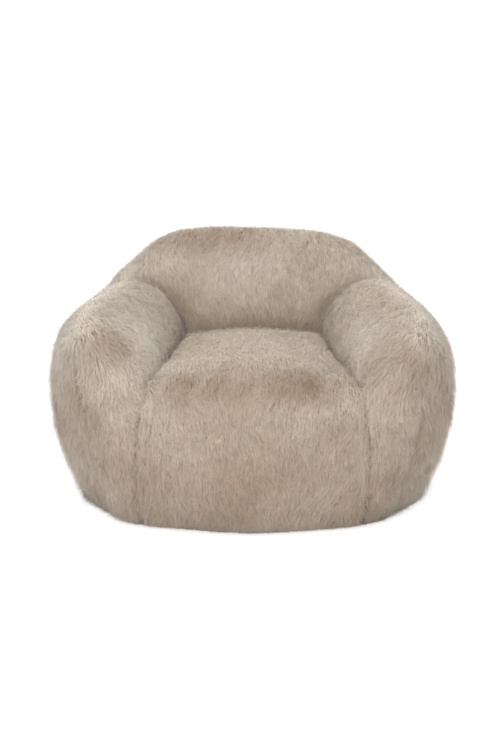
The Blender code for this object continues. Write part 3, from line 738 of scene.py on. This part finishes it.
# ---- materials -----------------------------------------------------------------------------
def new_material(name, roughness, metallic=0.0, sheen=0.0, specular=0.5):
    """A material, its node tree and its shader."""
    made = bpy.data.materials.new(name)
    made.use_nodes = True
    tree = made.node_tree
    shader = tree.nodes["Principled BSDF"]
    shader.inputs["Roughness"].default_value = roughness
    shader.inputs["Metallic"].default_value = metallic
    shader.inputs["Specular IOR Level"].default_value = specular
    shader.inputs["Sheen Weight"].default_value = sheen
    shader.inputs["Sheen Roughness"].default_value = 0.45
    shader.inputs["Sheen Tint"].default_value = (0.94, 0.97, 1.0, 1.0)
    return made, tree, shader


def noise_colour(tree, shader, dark, light, scale):
    """Base colour that wanders between two colours. It returns the colours' node, for a bump."""
    place = tree.nodes.new("ShaderNodeTexCoord")
    noise = tree.nodes.new("ShaderNodeTexNoise")
    noise.inputs["Scale"].default_value = scale
    noise.inputs["Detail"].default_value = 3.0
    ramp = tree.nodes.new("ShaderNodeValToRGB")
    ramp.color_ramp.elements[0].position, ramp.color_ramp.elements[1].position = 0.3, 0.7
    ramp.color_ramp.elements[0].color = (*dark, 1)
    ramp.color_ramp.elements[1].color = (*light, 1)
    tree.links.new(place.outputs["Object"], noise.inputs["Vector"])
    tree.links.new(noise.outputs["Fac"], ramp.inputs["Fac"])
    tree.links.new(ramp.outputs["Color"], shader.inputs["Base Color"])
    return ramp


def bump(tree, shader, height, strength, distance):
    """Light and shade as if the surface rose and fell by this height."""
    node = tree.nodes.new("ShaderNodeBump")
    node.inputs["Strength"].default_value = strength
    node.inputs["Distance"].default_value = distance
    tree.links.new(height, node.inputs["Height"])
    tree.links.new(node.outputs["Normal"], shader.inputs["Normal"])


def weave_bump(tree, shader, pitch, strength):
    """Warp and weft threads, this far apart."""
    place = tree.nodes.new("ShaderNodeTexCoord")
    heights = []
    for direction in ("X", "Y"):
        wave = tree.nodes.new("ShaderNodeTexWave")
        wave.bands_direction = direction
        wave.inputs["Scale"].default_value = ONE_THREAD / pitch
        wave.inputs["Distortion"].default_value = 0.6
        tree.links.new(place.outputs["Object"], wave.inputs["Vector"])
        heights.append(wave.outputs["Fac"])
    both = tree.nodes.new("ShaderNodeMath")
    both.operation = "MULTIPLY"
    tree.links.new(heights[0], both.inputs[0])
    tree.links.new(heights[1], both.inputs[1])
    bump(tree, shader, both.outputs[0], strength, pitch * 0.5)


def pile_material():
    """The strands' colours, painted light and shade included, a little uneven, on a surface that
    lets some light through.
    """
    made, tree, shader = new_material("fur_pile", 0.72, sheen=0.3, specular=0.2)
    colour = tree.nodes.new("ShaderNodeAttribute")
    colour.attribute_name = "pile_colour"
    place = tree.nodes.new("ShaderNodeTexCoord")
    noise = tree.nodes.new("ShaderNodeTexNoise")
    noise.inputs["Scale"].default_value = 60.0
    noise.inputs["Detail"].default_value = 4.0
    span = tree.nodes.new("ShaderNodeMapRange")
    span.inputs["To Min"].default_value, span.inputs["To Max"].default_value = 0.90, 1.10
    scaled = tree.nodes.new("ShaderNodeVectorMath")
    scaled.operation = "SCALE"
    tree.links.new(place.outputs["Object"], noise.inputs["Vector"])
    tree.links.new(noise.outputs["Fac"], span.inputs["Value"])
    tree.links.new(colour.outputs["Color"], scaled.inputs[0])
    tree.links.new(span.outputs["Result"], scaled.inputs["Scale"])
    through = tree.nodes.new("ShaderNodeBsdfTranslucent")
    mix = tree.nodes.new("ShaderNodeMixShader")
    mix.inputs["Fac"].default_value = THROUGH_LIGHT
    tree.links.new(scaled.outputs["Vector"], shader.inputs["Base Color"])
    tree.links.new(scaled.outputs["Vector"], through.inputs["Color"])
    tree.links.new(shader.outputs["BSDF"], mix.inputs[1])
    tree.links.new(through.outputs["BSDF"], mix.inputs[2])
    tree.links.new(mix.outputs["Shader"], tree.nodes["Material Output"].inputs["Surface"])
    return made


def backing_material():
    """The woven cloth at the foot of the pile."""
    made, tree, shader = new_material("fur_backing", 0.9, sheen=0.2, specular=0.2)
    noise_colour(tree, shader, *BACKING_COLOURS, 90.0)
    return made


def cloth_material(name, dark, light, pitch, strength):
    """Plain woven cloth with its threads this far apart."""
    made, tree, shader = new_material(name, 0.85, sheen=0.15, specular=0.3)
    noise_colour(tree, shader, dark, light, 45.0)
    weave_bump(tree, shader, pitch, strength)
    return made


def bead_material():
    """White foam beads, with painted shade as a grey rim where they meet."""
    made, tree, shader = new_material("foam_beads", 0.7)
    place = tree.nodes.new("ShaderNodeTexCoord")
    beads = tree.nodes.new("ShaderNodeTexVoronoi")
    beads.inputs["Scale"].default_value = 260.0
    ramp = tree.nodes.new("ShaderNodeValToRGB")
    ramp.color_ramp.elements[0].color = (0.95, 0.95, 0.93, 1)
    ramp.color_ramp.elements[1].color = (0.74, 0.74, 0.72, 1)
    tree.links.new(place.outputs["Object"], beads.inputs["Vector"])
    tree.links.new(beads.outputs["Distance"], ramp.inputs["Fac"])
    tree.links.new(ramp.outputs["Color"], shader.inputs["Base Color"])
    return made


def metal_material():
    """Cast zinc, slightly mottled."""
    made, tree, shader = new_material("zip_cast_metal", 0.38, metallic=1.0)
    ramp = noise_colour(tree, shader, *METAL_COLOURS, 700.0)
    bump(tree, shader, ramp.outputs["Color"], 0.15, 0.0002)
    return made


# ---- pieces ----------------------------------------------------------------------------------
def add(name, mesh, finish):
    """A visible piece of the chair's body."""
    obj = bpy.data.objects.new(name, mesh)
    bpy.context.scene.collection.objects.link(obj)
    obj.data.materials.clear()
    obj.data.materials.append(finish)
    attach(obj, "chair")
    return obj


def backing_piece(panel, points, ids, finish):
    """A panel's cloth under its pile, as a closed skin."""
    nu, nv = ids.shape
    local = np.arange(nu * nv).reshape(nu, nv)
    quads = np.stack([local[:-1, :-1], local[1:, :-1], local[1:, 1:], local[:-1, 1:]], -1)
    mesh = bpy.data.meshes.new("backing_" + panel)
    mesh.from_pydata(points[ids.ravel()].tolist(), [], quads.reshape(-1, 4).tolist())
    mesh.polygons.foreach_set("use_smooth", np.ones(len(mesh.polygons), bool))
    obj = add("backing_" + panel, mesh, finish)
    thick = obj.modifiers.new("thickness", "SOLIDIFY")
    thick.thickness = BACKING
    thick.offset = -1
    graph = bpy.context.evaluated_depsgraph_get()
    solid = bpy.data.meshes.new_from_object(obj.evaluated_get(graph), depsgraph=graph)
    obj.modifiers.clear()
    obj.data = solid
    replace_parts(obj, panel)


def liner_piece(points, normals, finish):
    """The inner bag, drawn in wherever the rounded cover comes down on it."""
    mesh = frame["nodes"]["liner_bag"].data.copy()
    tree = KDTree(len(points))
    for k, point in enumerate(points):
        tree.insert(point, k)
    tree.balance()
    for vert in mesh.vertices:
        _, k, _ = tree.find(vert.co)
        out = Vector(normals[k])
        depth = (Vector(points[k]) - vert.co).dot(out)
        if depth < LINER_DEPTH and vert.co.z > LINER_FLOOR:
            vert.co -= out * (LINER_GIVE * (LINER_DEPTH - depth))
    liner = add("liner_cloth", mesh, finish)
    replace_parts(liner, "liner_bag")


def pile_pieces(panel, points, normals, combs, ids, curves, finish):
    """A panel's pile, from the floor up in pieces of at most STRANDS_PER_PIECE strands."""
    strands, character = grow(points, normals, combs, ids, curves)
    root, normal = strands[0], strands[3]
    base_colour, tip_colour = tints(root, normal, *character)
    pieces = math.ceil(len(root) / STRANDS_PER_PIECE)
    order = np.argsort(root[:, 2], kind="stable")
    for k, part in enumerate(np.array_split(order, pieces)):
        mesh = pile_mesh(
            f"pile_{panel}_{k + 1}",
            [a[part] for a in strands],
            (base_colour[part], tip_colour[part]),
        )
        add(mesh.name, mesh, finish)


def coil_piece(node, finish):
    """A zip's row of teeth as it is made: one nylon wire wound into a long fine coil."""
    low, high = (np.array(corner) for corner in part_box(node))
    middle, radius = (low + high) / 2, (high[2] - low[2]) / 2 - COIL_WIRE
    turns = int((high[0] - low[0] - 2 * COIL_WIRE) / COIL_PITCH)
    t = np.arange(turns * TURN_STEPS + 1) / TURN_STEPS
    angle = 2 * math.pi * t
    zero = np.zeros_like(t)
    radial = np.stack([zero, np.cos(angle), np.sin(angle)], axis=1)
    centre = middle + radial * radius
    centre[:, 0] = low[0] + COIL_WIRE + t * COIL_PITCH
    around = 2 * math.pi * np.arange(WIRE_SIDES) / WIRE_SIDES
    ring = radial[:, None] * np.cos(around)[None, :, None]
    ring = ring + np.array((1, 0, 0)) * np.sin(around)[None, :, None]
    points = (centre[:, None] + ring * COIL_WIRE).reshape(-1, 3)
    first = np.arange(len(t) - 1)[:, None] * WIRE_SIDES
    k = np.arange(WIRE_SIDES)
    after = (k + 1) % WIRE_SIDES
    quads = np.stack(
        [first + k, first + after, first + WIRE_SIDES + after, first + WIRE_SIDES + k], axis=-1
    )
    ends = [list(range(WIRE_SIDES))[::-1], list(range(len(points) - WIRE_SIDES, len(points)))]
    mesh = bpy.data.meshes.new(node + "_wire")
    mesh.from_pydata(points.tolist(), [], quads.reshape(-1, 4).tolist() + ends)
    mesh.polygons.foreach_set("use_smooth", np.ones(len(mesh.polygons), bool))
    bm = bmesh.new()
    bm.from_mesh(mesh)
    bmesh.ops.recalc_face_normals(bm, faces=bm.faces[:])
    bm.to_mesh(mesh)
    bm.free()
    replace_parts(add(mesh.name, mesh, finish), node)


def dress_frame(points, normals):
    """The liner, the zips' teeth, and materials for the CAD nodes that stay."""
    nylon = cloth_material("zip_nylon", *NYLON)
    lining = cloth_material("lining", *LINING)
    liner_piece(points, normals, lining)
    for part in frame["record"]["subparts"]:
        if "_zip_coil_" in part["node"]:
            coil_piece(part["node"], nylon)
    finishes = {
        "base_canvas": cloth_material("canvas", *CANVAS),
        "liner_fabric": lining,
        "bead_fill": bead_material(),
        "zip_nylon": nylon,
        "zip_metal": metal_material(),
    }
    for part in frame["record"]["subparts"]:
        finish = finishes.get(part["material_slot"])
        if finish is None:
            continue
        mesh = frame["nodes"][part["node"]].data
        if mesh.materials:
            for k in range(len(mesh.materials)):
                mesh.materials[k] = finish
        else:
            mesh.materials.append(finish)


# ---- the studio ------------------------------------------------------------------------------
def make_camera():
    """The camera in front of the chair, a little above it."""
    data = bpy.data.cameras.new("camera")
    data.sensor_width, data.lens = SENSOR, FOCAL_LENGTH
    data.shift_x = CAMERA_SHIFT
    camera = bpy.data.objects.new("camera", data)
    bpy.context.scene.collection.objects.link(camera)
    target = Vector((0, 0, CAMERA_AIM))
    way = Vector((0, -math.cos(CAMERA_ELEVATION), math.sin(CAMERA_ELEVATION)))
    camera.location = target + CAMERA_DISTANCE * way
    camera.rotation_euler = (-way).to_track_quat("-Z", "Y").to_euler()
    bpy.context.scene.camera = camera


def area_light(name, place, size, power, colour):
    """A rectangular lamp turned towards the middle of the chair."""
    data = bpy.data.lights.new(name, "AREA")
    data.shape = "RECTANGLE"
    data.size, data.size_y = size
    data.energy = power
    data.color = colour
    obj = bpy.data.objects.new(name, data)
    obj.location = place
    obj.rotation_euler = (LIT_POINT - obj.location).to_track_quat("-Z", "Y").to_euler()
    bpy.context.scene.collection.objects.link(obj)


def see_through_from_below(tree, shader):
    """Lets a camera under the floor see the chair through it."""
    side = tree.nodes.new("ShaderNodeNewGeometry")
    clear = tree.nodes.new("ShaderNodeBsdfTransparent")
    mix = tree.nodes.new("ShaderNodeMixShader")
    tree.links.new(side.outputs["Backfacing"], mix.inputs["Fac"])
    tree.links.new(shader.outputs["BSDF"], mix.inputs[1])
    tree.links.new(clear.outputs["BSDF"], mix.inputs[2])
    tree.links.new(mix.outputs["Shader"], tree.nodes["Material Output"].inputs["Surface"])


def make_studio():
    """White surroundings, three lamps and a white floor."""
    scene = bpy.context.scene
    scene.view_settings.view_transform = "Standard"
    world = bpy.data.worlds.new("studio")
    world.use_nodes = True
    world.node_tree.nodes["Background"].inputs["Color"].default_value = (1, 1, 1, 1)
    world.node_tree.nodes["Background"].inputs["Strength"].default_value = WORLD_LIGHT
    scene.world = world
    for lamp in LAMPS:
        area_light(*lamp)
    bm = bmesh.new()
    bmesh.ops.create_grid(bm, x_segments=1, y_segments=1, size=FLOOR_REACH)
    mesh = bpy.data.meshes.new("floor")
    bm.to_mesh(mesh)
    bm.free()
    floor = bpy.data.objects.new("floor", mesh)
    floor.location.z = -FLOOR_GAP
    bpy.context.scene.collection.objects.link(floor)
    finish, tree, shader = new_material("floor_white", 0.9, specular=0.1)
    see_through_from_below(tree, shader)
    shader.inputs["Base Color"].default_value = (*FLOOR_COLOUR, 1)
    shader.inputs["Emission Color"].default_value = (1, 1, 1, 1)
    shader.inputs["Emission Strength"].default_value = FLOOR_GLOW
    mesh.materials.append(finish)


def main():
    """The whole picture."""
    make_camera()
    points, quads, index, curves = shape_skin()
    normals = point_normals(points, quads)
    combs = combed(points, quads, index)
    backing, pile = backing_material(), pile_material()
    for panel, ids in index.items():
        backing_piece(panel, points, ids, backing)
        pile_pieces(panel, points, normals, combs, ids, curves, pile)
    dress_frame(points, normals)
    make_studio()


main()
